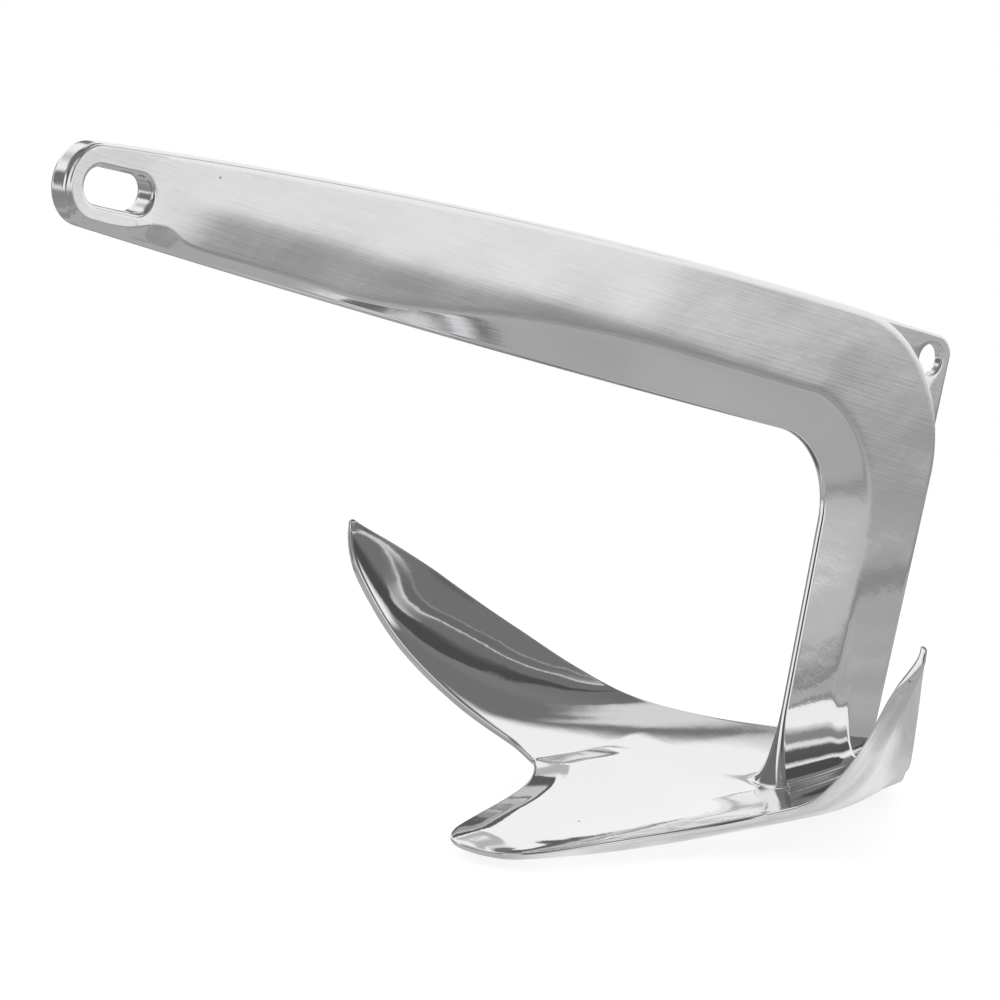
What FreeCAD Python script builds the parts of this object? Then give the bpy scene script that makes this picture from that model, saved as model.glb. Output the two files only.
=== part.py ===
import FreeCAD, Part
import os
from math import atan2, cos, hypot, radians, sin, sqrt, tan

# Claw anchor cast in one piece. Millimetres and degrees, +Z up, +X from the crown to the shackle eye.
# While it is drawn, the outline lies in the XZ plane, and it is moved to its own origin at the end.

# Claw, drawn on rolled sections about an axis along X above the ground
roll_height = 230.0          # height of the roll axis
heel_x = -28.4               # rear end of the crown
heel_round = 5.6             # rounding of the heel seen from above
sweep = 0.87                 # forward run of the trailing edge for each unit of width
notch_x = 118.4              # notch between the centre fluke and a side fluke
notch_roll = 19.7
centre_tip_x = 219.7
side_tip_roll = 57.9
shoulder = 0.62              # share of the notch roll at which the centre fluke has half its length
shoulder_power = 4.5

# Stations along the roll: (roll, value)
side_front = [(notch_roll, notch_x), (25, 115.5), (33, 122.8), (43, 131.4), (52, 134.6),
              (side_tip_roll, 129.3)]
front_radius = [(0, 226.0), (notch_roll, 225.5), (27, 226.8), (33, 228.0), (43, 230.0), (49, 229.2),
                (53, 227.8), (56.4, 225.0), (side_tip_roll, 221.7)]
rear_radius = [(0, 207.5), (10, 209.5), (18, 212.0), (25, 213.2), (31, 210.8), (38, 208.2), (47.5, 208.6),
               (52.7, 211.8), (side_tip_roll, 218.0)]
front_thickness = [(0, 3.0), (12, 3.0), (notch_roll, 3.2), (27, 3.6), (35, 4.8), (43, 7.0), (49, 8.2),
                   (53, 7.4), (side_tip_roll, 3.6)]
front_bevel = [(0, 1.5), (12, 1.2), (notch_roll, 0.9), (27, 0.8), (35, 1.4), (43, 2.8), (50, 3.2),
               (side_tip_roll, 1.2)]
rear_thickness = [(0, 19.0), (9, 14.0), (17, 6.0), (25, 4.0), (side_tip_roll, 2.6)]
middle_thickness = [(0, 7.2), (8, 7.6), (15, 6.4), (28, 6.6), (42, 7.4), (side_tip_roll, 3.4)]
scoop_power = [(0, 6.0), (15, 3.0), (25, 2.4), (40, 1.8), (side_tip_roll, 1.2)]
edge_bulge = 0.12            # how far an edge face swells, as a share of its thickness

# Shank, seen from the side
eye_x = 430.0
eye_z = 326.6
eye_tilt = 16.5
eye_radius = 18.6
slot_length = 39.2
slot_width = 16.0
eye_thickness = 10.4
eye_top_rise = 13.3
eye_bottom_rise = 19.6
top_crown = 6.6              # rise of the arm's curved top above its chord
bottom_crown = 2.0
inner_corner_x = 5.3
inner_corner_z = 159.7
inner_rise = 19.15
inner_lean = 75.3
inner_radius = 37.5
outer_corner_x = -66.9
outer_corner_z = 198.2
outer_rise = 19.8
outer_lean = 73.0
outer_radius = 66.0

# Shank section
back_thickness = 15.0        # across the outer edge at the elbow and down the leg
inner_thickness = 3.8        # across the thin inner edge there
ridge_width = 4.0            # soft ridge between the flat side and the band
edge_round = 2.5
side_swell = 0.6             # how far the flat side swells at its middle

# Width of the sloping band along the inner edge: (run, width), with the elbow at a run of 1 to 2
bevel_width = [(0.07, 2.5), (0.2, 4.5), (0.38, 4.8), (0.47, 9.0), (0.57, 15.6), (0.72, 20.5), (1, 21.0),
               (1.6, 21.5), (2.2, 25.0), (3, 26.0)]

# Concave fillets at the foot of the leg, measured up from the claw's inner floor
front_flare_height = 38.0
front_flare_reach = 13.0
back_flare_height = 10.0
back_flare_reach = 3.0

# Trip-line lug in the elbow's outer corner
lug_thickness = 5.2
lug_round = 9.0
trip_hole_diameter = 14.0
trip_hole_wall = 4.8         # from the hole to the lug's two straight edges


def through(stations, at):
    """Value at a place on the smooth curve through (place, value) stations."""
    places = [place for place, value in stations]
    values = [value for place, value in stations]
    if at <= places[0]:
        return values[0]
    if at >= places[-1]:
        return values[-1]
    last = len(places) - 1
    i = max(j for j in range(last) if places[j] <= at)

    def slope(j):
        before, after = max(j - 1, 0), min(j + 1, last)
        return (values[after] - values[before]) / (places[after] - places[before])

    span = places[i + 1] - places[i]
    t = (at - places[i]) / span
    return ((2 * t ** 3 - 3 * t ** 2 + 1) * values[i] + (t ** 3 - 2 * t ** 2 + t) * span * slope(i)
            + (3 * t ** 2 - 2 * t ** 3) * values[i + 1] + (t ** 3 - t ** 2) * span * slope(i + 1))


def rear_x(roll):
    """Trailing edge: straight and swept forward, rounded at the heel."""
    half_width = through(rear_radius, roll) * sin(radians(roll))
    return heel_x + sweep * (hypot(half_width, heel_round) - heel_round)


def front_x(roll):
    """Leading edge: the round centre fluke up to the notch, then the side fluke."""
    if roll >= notch_roll:
        return through(side_front, roll)

    def shoulder_curve(share):
        return 1 / (1 + (share / shoulder) ** shoulder_power)

    left_at_notch = shoulder_curve(1)
    share = (shoulder_curve(roll / notch_roll) - left_at_notch) / (1 - left_at_notch)
    return notch_x + (centre_tip_x - notch_x) * share


def inner_surface(chord, roll):
    """Radius of the scooped inner face at a share of the chord from the trailing edge."""
    rear = through(rear_radius, roll)
    front = through(front_radius, roll) - through(front_thickness, roll)
    return front - (front - rear) * (1 - chord) ** through(scoop_power, roll)


def outer_surface(chord, roll):
    """Radius of the outer face: the inner face plus a thickness that runs out towards both edges."""
    middle = through(middle_thickness, roll)
    near_rear = (1 - chord) ** through(scoop_power, roll)
    thickness = (middle + (through(rear_thickness, roll) - middle) * near_rear
                 + (through(front_thickness, roll) - middle) * chord ** 6)
    return inner_surface(chord, roll) + thickness


def rolled(x, radius, roll):
    """Point at a radius from the roll axis."""
    return FreeCAD.Vector(x, radius * sin(radians(roll)), roll_height - radius * cos(radians(roll)))


def curve_through(points):
    curve = Part.BSplineCurve()
    curve.interpolate(points)
    return curve.toShape()


def bulged_edge(start, end, outward):
    """Edge face between two corners, swelling outward along X."""
    middle = (start + end) * 0.5 + FreeCAD.Vector(outward * (end - start).Length * edge_bulge, 0, 0)
    return Part.Arc(start, middle, end).toShape()


def claw_section(roll):
    """Closed section of the claw in the plane through the roll axis."""
    size = abs(roll)
    rear, front, bevel = rear_x(size), front_x(size), through(front_bevel, size)
    shares = [i / 10 for i in range(11)]

    def face(surface, front_end):
        return [rolled(rear + share * (front_end - rear), surface(share, size), roll) for share in shares]

    inside = face(inner_surface, front)
    outside = face(outer_surface, front - bevel)
    return Part.Wire([curve_through(inside), bulged_edge(inside[-1], outside[-1], 1),
                      curve_through(outside[::-1]), bulged_edge(outside[0], inside[0], -1)])


def claw():
    """Centre fluke and two side flukes, each skinned over its own rolled sections."""
    centre = [notch_roll * i / 8 for i in range(-8, 9)]
    side = [notch_roll + (side_tip_roll - notch_roll) * i / 10 for i in range(11)]
    pieces = [Part.makeLoft([claw_section(roll) for roll in rolls], True, False)
              for rolls in (centre, side, [-roll for roll in side])]
    return pieces[0].fuse(pieces[1:])


def in_plane(x, z, y=0.0):
    return FreeCAD.Vector(x, y, z)


def heading(angle):
    return FreeCAD.Vector(cos(radians(angle)), 0, sin(radians(angle)))


def corner_arc(corner, rise, lean, radius):
    """Start, end and centre of the arc that rounds the corner between the arm and the leg."""
    to_arm, to_leg = heading(rise), heading(-lean)
    half = to_arm.getAngle(to_leg) / 2
    reach = radius / tan(half)
    bisector = (to_arm + to_leg).normalize()
    return corner + to_arm * reach, corner + to_leg * reach, corner + bisector * (radius / sin(half))


def arc_point(centre, start, end, share):
    """Point at a share of the arc from start to end, the short way round."""
    first = atan2(start.z - centre.z, start.x - centre.x)
    turn = (start - centre).getAngle(end - centre)
    radius = (start - centre).Length
    angle = first + share * turn
    return centre + FreeCAD.Vector(radius * cos(angle), 0, radius * sin(angle))


def claw_height(surface, x):
    """Height of one of the claw's faces in the mirror plane."""
    chord = min(max((x - rear_x(0)) / (front_x(0) - rear_x(0)), 0.0), 1.0)
    return roll_height - surface(chord, 0)


def foot_in_claw(end, lean):
    """Point where a straight edge of the leg reaches the middle of the claw's wall."""
    foot = end
    for step in range(30):
        z = (claw_height(inner_surface, foot.x) + claw_height(outer_surface, foot.x)) / 2
        foot = end + heading(-lean) * ((end.z - z) / sin(radians(lean)))
    return foot


def bowed_point(start, end, crown, share):
    """Point on a shallow bow between two ends, raised by the crown at its middle."""
    chord = end - start
    across = FreeCAD.Vector(-chord.z, 0, chord.x).normalize()
    return start + chord * share - across * (4 * crown * share * (1 - share))


along_eye = heading(eye_tilt)
eye_centre = in_plane(eye_x, eye_z)
slot_front = eye_centre + along_eye * ((slot_length - slot_width) / 2)
slot_back = eye_centre - along_eye * ((slot_length - slot_width) / 2)
eye_top = slot_front + heading(90 + eye_top_rise) * eye_radius
eye_bottom = slot_front + heading(-90 + eye_bottom_rise) * eye_radius
outer_start, outer_end, outer_centre = corner_arc(in_plane(outer_corner_x, outer_corner_z), outer_rise,
                                                  outer_lean, outer_radius)
inner_start, inner_end, inner_centre = corner_arc(in_plane(inner_corner_x, inner_corner_z), inner_rise,
                                                  inner_lean, inner_radius)
outer_foot = foot_in_claw(outer_end, outer_lean)
inner_foot = foot_in_claw(inner_end, inner_lean)
floor_z = claw_height(inner_surface, inner_foot.x)
trip_hole_centre = corner_arc(in_plane(outer_corner_x, outer_corner_z), outer_rise, outer_lean,
                              trip_hole_wall + trip_hole_diameter / 2)[2]


def outer_edge(run):
    """Outer edge of the shank: arm for a run of 0 to 1, elbow to 2, leg to 3."""
    if run <= 1:
        return bowed_point(eye_top, outer_start, top_crown, run)
    if run <= 2:
        return arc_point(outer_centre, outer_start, outer_end, run - 1)
    return outer_end + (outer_foot - outer_end) * (run - 2)


def inner_edge(run):
    """Inner edge of the shank over the same runs."""
    if run <= 1:
        return bowed_point(eye_bottom, inner_start, -bottom_crown, run)
    if run <= 2:
        return arc_point(inner_centre, inner_start, inner_end, run - 1)
    return inner_end + (inner_foot - inner_end) * (run - 2)


def from_eye(run):
    """Share of the change from the eye's flat plate to the full section of the elbow."""
    share = min(run / 0.75, 1.0)
    return share * share * (3 - 2 * share)


def blend(eye_value, elbow_value, run):
    return eye_value + (elbow_value - eye_value) * from_eye(run)


def flare(z, height, reach):
    """Reach of a concave fillet at a height on the leg."""
    left = 1 - min(max((z - floor_z) / height, 0.0), 1.0)
    return reach * (1 - sqrt(1 - left * left))


def shank_section(run):
    """Closed section across the shank: flat outer edge, swelling side, sloping band, thin inner edge."""
    outer, inner = outer_edge(run), inner_edge(run)
    on_leg = run > 2
    back_flare = flare(outer.z, back_flare_height, back_flare_reach) if on_leg else 0.0
    front_flare = flare(inner.z, front_flare_height, front_flare_reach) if on_leg else 0.0
    across = (inner - outer).normalize()
    outer = outer - across * back_flare
    width = (inner - outer).Length
    back = blend(eye_thickness, back_thickness, run) / 2 + back_flare
    lip = blend(eye_thickness - edge_round, inner_thickness, run) / 2 + front_flare
    band = through(bevel_width, run)
    ridge = min(blend(0.2, ridge_width, run), band) / 2
    swell = blend(0.05, side_swell, run)
    nose = min(lip, inner_thickness / 2 + edge_round)

    def at(depth, y):
        return outer + across * depth + FreeCAD.Vector(0, y, 0)

    def side_edges(side):
        shoulder_point = at(edge_round, side * back)
        ridge_back = at(width - band - ridge, side * back)
        ridge_front = at(width - band + ridge, side * (back - ridge * 0.2 + front_flare))
        lip_point = at(width - nose, side * lip)
        slant = edge_round * (1 - sqrt(0.5))
        middle = (edge_round + width - band - ridge) / 2
        corner = Part.Arc(at(0, side * (back - edge_round)), at(slant, side * (back - slant)),
                          shoulder_point)
        flat = Part.Arc(shoulder_point, at(middle, side * (back + swell)), ridge_back)
        return [corner.toShape(), flat.toShape(), Part.makeLine(ridge_back, ridge_front),
                Part.makeLine(ridge_front, lip_point)]

    nose_arc = Part.Arc(at(width - nose, lip), at(width, 0), at(width - nose, -lip)).toShape()
    spine = Part.makeLine(at(0, -(back - edge_round)), at(0, back - edge_round))
    return Part.Wire(Part.__sortEdges__([spine] + side_edges(1) + [nose_arc] + side_edges(-1)))


def extruded(outline, thickness):
    """Flat plate with its middle in the XZ plane."""
    face = Part.Face(Part.Wire(outline))
    face.translate(FreeCAD.Vector(0, -thickness / 2, 0))
    return face.extrude(FreeCAD.Vector(0, thickness, 0))


def shank():
    """Arm, elbow and leg skinned over the sections, with the round eye plate at the front."""
    eye_run = 0.07
    runs = ([eye_run + (1 - eye_run) * i / 8 for i in range(8)] + [1 + i / 6 for i in range(6)]
            + [2 + 0.72 * i / 4 for i in range(4)] + [2.72 + 0.28 * i / 6 for i in range(7)])
    body = Part.makeLoft([shank_section(run) for run in runs], True, False)
    nose = Part.Arc(eye_bottom, slot_front + along_eye * eye_radius, eye_top).toShape()
    top, bottom = outer_edge(eye_run), inner_edge(eye_run)
    plate = extruded([nose, Part.makeLine(eye_top, top), Part.makeLine(top, bottom),
                      Part.makeLine(bottom, eye_bottom)], eye_thickness)
    rims = [edge for edge in plate.Edges if edge.Curve.TypeId == "Part::GeomCircle"]
    return body.fuse(plate.makeFillet(edge_round * 0.7, rims))


def slot():
    """Long shackle slot through the eye."""
    side = heading(90 + eye_tilt) * (slot_width / 2)
    tip = along_eye * (slot_width / 2)
    outline = [Part.makeLine(slot_back + side, slot_front + side),
               Part.Arc(slot_front + side, slot_front + tip, slot_front - side).toShape(),
               Part.makeLine(slot_front - side, slot_back - side),
               Part.Arc(slot_back - side, slot_back - tip, slot_back + side).toShape()]
    return extruded(outline, eye_thickness * 3)


def lug():
    """Thin plate that fills the elbow's outer corner, for the trip line."""
    corner = in_plane(outer_corner_x, outer_corner_z)
    start, end, centre = corner_arc(corner, outer_rise, outer_lean, lug_round)
    middle = centre + (corner - centre).normalize() * lug_round
    inside = outer_centre + (corner - outer_centre).normalize() * (outer_radius * 0.6)
    outline = [Part.Arc(start, middle, end).toShape(), Part.makeLine(end, outer_end),
               Part.makeLine(outer_end, inside), Part.makeLine(inside, outer_start),
               Part.makeLine(outer_start, start)]
    return extruded(outline, lug_thickness)


def trip_hole():
    reach = lug_thickness * 2
    side = FreeCAD.Vector(0, 1, 0)
    return Part.makeCylinder(trip_hole_diameter / 2, 2 * reach, trip_hole_centre - side * reach, side)


def anchor():
    """Whole casting, with its origin under the middle of its length on the ground."""
    casting = claw().fuse([shank(), lug()]).cut([slot(), trip_hole()])
    lug_centre = corner_arc(in_plane(outer_corner_x, outer_corner_z), outer_rise, outer_lean, lug_round)[2]
    rear_end = lug_centre.x - lug_round
    front_end = slot_front.x + eye_radius
    lowest = roll_height - max(outer_surface(i / 100, 0) for i in range(101))
    casting.translate(FreeCAD.Vector(-(rear_end + front_end) / 2, 0, -lowest))
    return casting


os.makedirs("parts", exist_ok=True)
casting = anchor()
print("solids", len(casting.Solids), "valid", casting.isValid(), "cm3", round(casting.Volume / 1000, 1))
casting.Solids[0].exportStep("parts/anchor.step")
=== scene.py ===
import bpy
import bmesh
import numpy as np
from mathutils import Matrix, Vector


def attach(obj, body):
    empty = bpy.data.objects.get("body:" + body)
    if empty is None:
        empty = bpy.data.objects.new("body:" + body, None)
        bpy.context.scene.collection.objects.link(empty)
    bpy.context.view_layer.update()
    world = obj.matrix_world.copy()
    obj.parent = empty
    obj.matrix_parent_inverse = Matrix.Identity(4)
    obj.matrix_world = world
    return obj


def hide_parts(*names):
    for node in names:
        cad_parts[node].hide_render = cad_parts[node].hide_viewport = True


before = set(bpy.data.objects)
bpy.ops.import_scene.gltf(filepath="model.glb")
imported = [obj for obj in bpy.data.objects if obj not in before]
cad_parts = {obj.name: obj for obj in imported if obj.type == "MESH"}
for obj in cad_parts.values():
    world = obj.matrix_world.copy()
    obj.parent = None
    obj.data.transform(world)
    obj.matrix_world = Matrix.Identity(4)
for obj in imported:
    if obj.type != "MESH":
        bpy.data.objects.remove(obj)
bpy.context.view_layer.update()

# The shapes are drawn in millimetres with the leg near x = 0 and the ground at z = 0.
# toFrame moves them to the CAD frame, whose origin is under the middle of the anchor.
drawing = {"midLength": 197.467, "lowest": -0.077, "mm": 0.001}


def toFrame(points):
    shift = np.array([drawing["midLength"], 0.0, drawing["lowest"]])
    return (np.asarray(points, dtype=float) - shift) * drawing["mm"]


# Both ends and the even steps between them.
def evenly(first, last, steps):
    return np.linspace(first, last, steps + 1)


# Cubic curve through (place, value) stations, each slope taken from the two neighbours.
def smoothThrough(stations, at):
    places, values = np.array(stations, dtype=float).T
    slopes = np.empty_like(values)
    slopes[1:-1] = (values[2:] - values[:-2]) / (places[2:] - places[:-2])
    slopes[0] = (values[1] - values[0]) / (places[1] - places[0])
    slopes[-1] = (values[-1] - values[-2]) / (places[-1] - places[-2])
    at = np.clip(at, places[0], places[-1])
    i = np.clip(np.searchsorted(places, at, side="right") - 1, 0, len(places) - 2)
    span = places[i + 1] - places[i]
    t = (at - places[i]) / span
    return ((2 * t**3 - 3 * t**2 + 1) * values[i] + (t**3 - 2 * t**2 + t) * span * slopes[i]
            + (3 * t**2 - 2 * t**3) * values[i + 1] + (t**3 - t**2) * span * slopes[i + 1])


# Claw

claw = {
    "rollHeight": 230.0, "heelX": -28.4, "heelRound": 5.6, "sweep": 0.87,
    "notchX": 118.4, "notchRoll": 19.7, "centreTipX": 219.7, "tipRoll": 57.9,
    "shoulder": 0.62, "shoulderPower": 4.5,
    "sideFront": [(19.7, 118.4), (25, 115.5), (33, 122.8), (43, 131.4), (52, 134.6), (57.9, 129.3)],
    "frontRadius": [(0, 226.0), (12, 225.7), (19.7, 226.7), (27, 229.2), (33, 229.9), (43, 230.4),
                    (49, 229.2), (53, 227.8), (56.4, 225.0), (57.9, 221.7)],
    "rearRadius": [(0, 207.5), (10, 209.5), (18, 212.0), (25, 213.2), (31, 210.8), (38, 208.2),
                   (47.5, 208.6), (52.7, 211.8), (57.9, 218.0)],
    "frontThickness": [(0, 3.0), (12, 3.0), (19.7, 3.7), (27, 4.6), (35, 5.8), (43, 7.2), (49, 8.2),
                       (53, 7.4), (57.9, 3.6)],
    "frontBevel": [(0, 1.5), (12, 1.4), (19.7, 1.6), (27, 1.9), (35, 2.6), (43, 3.6), (50, 4.0),
                   (57.9, 1.2)],
    "rearThickness": [(0, 19.0), (9, 14.0), (17, 6.0), (25, 4.0), (57.9, 2.6)],
    "middleThickness": [(0, 7.2), (8, 7.6), (15, 6.4), (28, 6.6), (42, 7.4), (57.9, 3.4)],
    "scoopPower": [(0, 6.0), (15, 2.8), (22, 2.4), (28, 2.1), (40, 1.7), (57.9, 1.2)],
    "edgeBulge": 0.12, "edgeRound": 1.1, "edgeRoundMost": 0.3, "edgePower": 6, "tipLength": 0.6,
    "edgeSteps": 4, "cornerPoints": 3, "floorRadius": 218.0,
    "footRoll": 7.6, "footRear": 0.02, "footFront": 0.36,
    "dish": [(0, 0.0), (24, 0.0), (33, 0.8), (44, 1.2), (52, 0.8), (57.9, 0.0)],
    "creaseLength": 50.0, "creaseInward": 3.4, "bevelSlope": 0.268, "bevelFlat": 11.0, "bevelWidth": 16.5,
    "creaseFade": (52.0, 100.0), "middleFade": (45.0, 105.0), "sideFade": (30.0, 62.0),
    "nearFade": (-17.0, 38.0),
}


# Trailing edge: a hyperbola over the half width, rounded at the heel.
def clawRearX(size):
    halfWidth = smoothThrough(claw["rearRadius"], size) * np.sin(np.radians(size))
    return claw["heelX"] + claw["sweep"] * (np.hypot(halfWidth, claw["heelRound"]) - claw["heelRound"])


# Leading edge: the centre fluke falls off as 1 / (1 + (share / shoulder) ^ power),
# and the side fluke has stations.
def clawFrontX(size):
    def fall(share):
        return 1 / (1 + (share / claw["shoulder"]) ** claw["shoulderPower"])

    share = np.minimum(size / claw["notchRoll"], 1.0)
    tongue = claw["centreTipX"] - claw["notchX"]
    centre = claw["notchX"] + tongue * (fall(share) - fall(1.0)) / (1 - fall(1.0))
    return np.where(size < claw["notchRoll"], centre, smoothThrough(claw["sideFront"], size))


# Radius of the inner face: the front's, less the step to the rear's times (1 - share of the chord) ^ power.
def clawInner(chord, size):
    rear = smoothThrough(claw["rearRadius"], size)
    front = smoothThrough(claw["frontRadius"], size) - smoothThrough(claw["frontThickness"], size)
    return front - (front - rear) * (1 - chord) ** smoothThrough(claw["scoopPower"], size)


# The polished inner face: the side flukes are dished by a parabola along their chord.
def clawDished(chord, size):
    return clawInner(chord, size) + smoothThrough(claw["dish"], size) * 4 * chord * (1 - chord)


# 0 below low, 1 above high, and 3 share^2 - 2 share^3 between them.
def softStep(value, low, high):
    share = np.clip((value - low) / (high - low), 0, 1)
    return share * share * (3 - 2 * share)


# The centre fluke's top falls to its far edge and to the crease behind the far notch: a slope that is
# even at first and then eases to nothing, by the distance in plan from the line of edge and crease.
def tongueRise(x, y):
    size = np.linspace(0, claw["notchRoll"], 60)
    edgeRadius = clawInner(1.0, size)
    lineX = np.append(clawFrontX(size), claw["notchX"] - claw["creaseLength"])
    lineY = np.append(edgeRadius * np.sin(np.radians(size)), 0.0)
    lineX[-2] = claw["notchX"]
    lineY[-1] = lineY[-2] - claw["creaseInward"]
    px, py = np.asarray(x, dtype=float)[..., None], np.abs(y)[..., None]
    stepX, stepY = np.diff(lineX), np.diff(lineY)
    along = np.clip(((px - lineX[:-1]) * stepX + (py - lineY[:-1]) * stepY) / (stepX**2 + stepY**2), 0, 1)
    away = np.hypot(px - lineX[:-1] - along * stepX, py - lineY[:-1] - along * stepY).min(axis=-1)
    flat, whole = claw["bevelFlat"], claw["bevelWidth"]
    easing = np.clip(away - flat, 0, whole - flat)
    rise = claw["bevelSlope"] * (np.minimum(away, flat) + easing - easing**2 / (2 * (whole - flat)))
    byCrease = softStep(x, *claw["creaseFade"])
    byMiddle = softStep(x, *claw["middleFade"])
    towardEdge = softStep(np.abs(y), *claw["sideFade"])
    inside = np.abs(y) < np.interp(x, [0, lineX[-1], lineX[-2]], [lineY[-1], lineY[-1], lineY[-2]])
    towardNear = softStep(y, *claw["nearFade"])
    return rise * (byMiddle + (byCrease - byMiddle) * towardEdge) * inside * (1 - towardNear)


# Radius of the outer face: the inner face plus a wall, which goes from the rear's thickness by way of the
# middle's to the front's.
def clawOuter(chord, size):
    middle = smoothThrough(claw["middleThickness"], size)
    nearRear = (1 - chord) ** smoothThrough(claw["scoopPower"], size)
    wall = (middle + (smoothThrough(claw["rearThickness"], size) - middle) * nearRear
            + (smoothThrough(claw["frontThickness"], size) - middle) * chord ** claw["edgePower"])
    return clawInner(chord, size) + wall


# Height of the inner face over a place in plan: the roll is the arcsine of y over the radius,
# found by repeating.
def clawFloor(x, y):
    radius = np.full(np.shape(x), claw["floorRadius"])
    for again in range(14):
        size = np.degrees(np.arcsin(np.clip(np.abs(y) / radius, 0, 0.95)))
        rear, front = clawRearX(size), clawFrontX(size)
        radius = clawDished(np.clip((x - rear) / (front - rear), 0, 1), size)
    return claw["rollHeight"] - np.sqrt(np.maximum(radius**2 - y**2, 0.0)) + tongueRise(x, y)


# Points on a parabola that leaves start towards the corner and arrives at end from it.
def roundedCorner(start, corner, end):
    t = evenly(0, 1, claw["cornerPoints"] + 1)[None, 1:-1, None]
    start, corner, end = (part[:, None, :] for part in (start, corner, end))
    return (1 - t) ** 2 * start + 2 * t * (1 - t) * corner + t**2 * end


# One closed section per roll, as (x, radius) pairs: inner face, leading edge, outer face, trailing edge.
def clawSections(rolls, topShares, bottomShares):
    size = np.abs(rolls)[:, None]
    rear, front = clawRearX(size), clawFrontX(size)
    bevel = smoothThrough(claw["frontBevel"], size)
    chord = front - rear
    rearWall = clawOuter(0.0, size) - clawInner(0.0, size)
    frontWall = clawOuter(1.0, size) - clawInner(1.0, size)
    roundRear = np.minimum(claw["edgeRound"], claw["edgeRoundMost"] * np.minimum(chord, rearWall))
    roundFront = np.minimum(claw["edgeRound"], claw["edgeRoundMost"] * np.minimum(chord, frontWall))
    topShare = roundRear / chord + (1 - (roundRear + roundFront) / chord) * topShares[None, :]
    bottomShare = roundRear / chord + (1 - (roundRear + roundFront) / chord) * bottomShares[None, :]
    topX, topRadius = rear + topShare * chord, clawDished(topShare, size)
    onTongue = size <= claw["notchRoll"] + 1e-6
    rise = tongueRise(topX, topRadius * np.sin(np.radians(rolls))[:, None]) * onTongue
    top = np.stack([topX, topRadius - rise], axis=2)
    bottom = np.stack([rear + bottomShare * (chord - bevel), clawOuter(bottomShare, size)], axis=2)

    def pair(x, radius):
        return np.concatenate([x, radius], axis=1)

    topFront, topRear = pair(front, clawInner(1.0, size)), pair(rear, clawInner(0.0, size))
    lowFront, lowRear = pair(front - bevel, clawOuter(1.0, size)), pair(rear, clawOuter(0.0, size))

    def edgeFace(start, end, rounding, outward):
        length = np.linalg.norm(end - start, axis=1)[:, None]
        share = rounding / length + (1 - 2 * rounding / length) * evenly(0, 1, claw["edgeSteps"])[None, :]
        face = start[:, None, :] + share[:, :, None] * (end - start)[:, None, :]
        face[:, :, 0] += outward * claw["edgeBulge"] * length * 4 * share * (1 - share)
        return face

    lead = edgeFace(topFront, lowFront, roundFront, 1)
    trail = edgeFace(lowRear, topRear, roundRear, -1)
    parts = [top, roundedCorner(top[:, -1], topFront, lead[:, 0]), lead,
             roundedCorner(lead[:, -1], lowFront, bottom[:, -1]), bottom[:, ::-1],
             roundedCorner(bottom[:, 0], lowRear, trail[:, 0]), trail,
             roundedCorner(trail[:, -1], topRear, top[:, 0])]
    return np.concatenate(parts, axis=1)


# Each section turned by its roll about the line above the claw.
def rolledPoints(sections, rolls):
    angle = np.radians(rolls)[:, None]
    x, radius = sections[:, :, 0], sections[:, :, 1]
    return np.stack([x, radius * np.sin(angle), claw["rollHeight"] - radius * np.cos(angle)], axis=2)


# Shank

shank = {
    "eyeX": 430.0, "eyeZ": 326.6, "eyeTilt": 16.5, "eyeRadius": 18.55,
    "eyeTopRise": 13.3, "eyeBottomRise": 19.6,
    "slotLength": 39.2, "slotWidth": 16.0, "slotRound": 2.0,
    "eyeLean": 2.2, "eyeSpread": 0.055, "eyeFacet": [(-20.7, 9.0), (-11.6, 4.5), (0.0, 2.6), (11.6, 2.2)],
    "topCrown": 6.6, "bottomCrown": 2.0,
    "innerCorner": (5.3, 159.7), "innerRise": 19.15, "innerLean": 75.3, "innerRadius": 37.5,
    "outerCorner": (-66.9, 198.2), "outerRise": 19.8, "outerLean": 73.0, "outerRadius": 66.0,
    "eyeThickness": 10.4, "backThickness": 15.0, "innerThickness": 3.8,
    "eyeRound": 1.8, "backRound": 1.5, "lipFlat": 0.05,
    "band": [(0.08, 9.0), (0.1, 10.0), (0.13, 5.5), (0.2, 5.2), (0.3, 5.0), (0.38, 4.4), (0.47, 9.0),
             (0.57, 15.6), (0.65, 18.5), (0.72, 20.5), (1.0, 21.0), (1.6, 21.5), (2.2, 25.0), (3.0, 26.0)],
    "tiltHigh": [(0.08, 2.3), (0.5, 2.2), (0.75, 1.8), (0.9, 0.9), (1.0, 0.5), (1.3, 0.1), (2.0, 0.0),
                 (3.0, 0.0)],
    "tiltLow": [(0.08, 2.2), (0.12, 1.2), (0.18, -1.2), (0.5, -1.8), (0.9, -1.5), (1.2, -1.0), (2.0, -0.5),
                (3.0, -0.5)],
    "tiltTurn": [(0.08, 0.5), (0.3, 0.55), (0.5, 0.68), (0.7, 0.82), (0.9, 0.92), (1.0, 1.0), (3.0, 1.0)],
    "tiltSpread": 0.12,
    "ridgeSoft": 0.45, "ridgeShare": 0.45,
    "startRun": 0.08, "eyeBlend": 0.7, "upperLeg": 0.4, "footStart": 62.0, "footLevel": 10.0,
    "flareHeight": 36.0, "flareReach": 12.5, "backFlareHeight": 6.0, "backFlareReach": 2.5,
    "flareFrom": (0.275, 0.285), "flareBackward": 6.0, "flareForward": 2.0,
    "rimSteps": 16, "sideSteps": 46,
}


# Unit vector at an angle above +X, in the XZ plane.
def heading(angle):
    return np.array([np.cos(np.radians(angle)), np.sin(np.radians(angle))])


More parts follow.
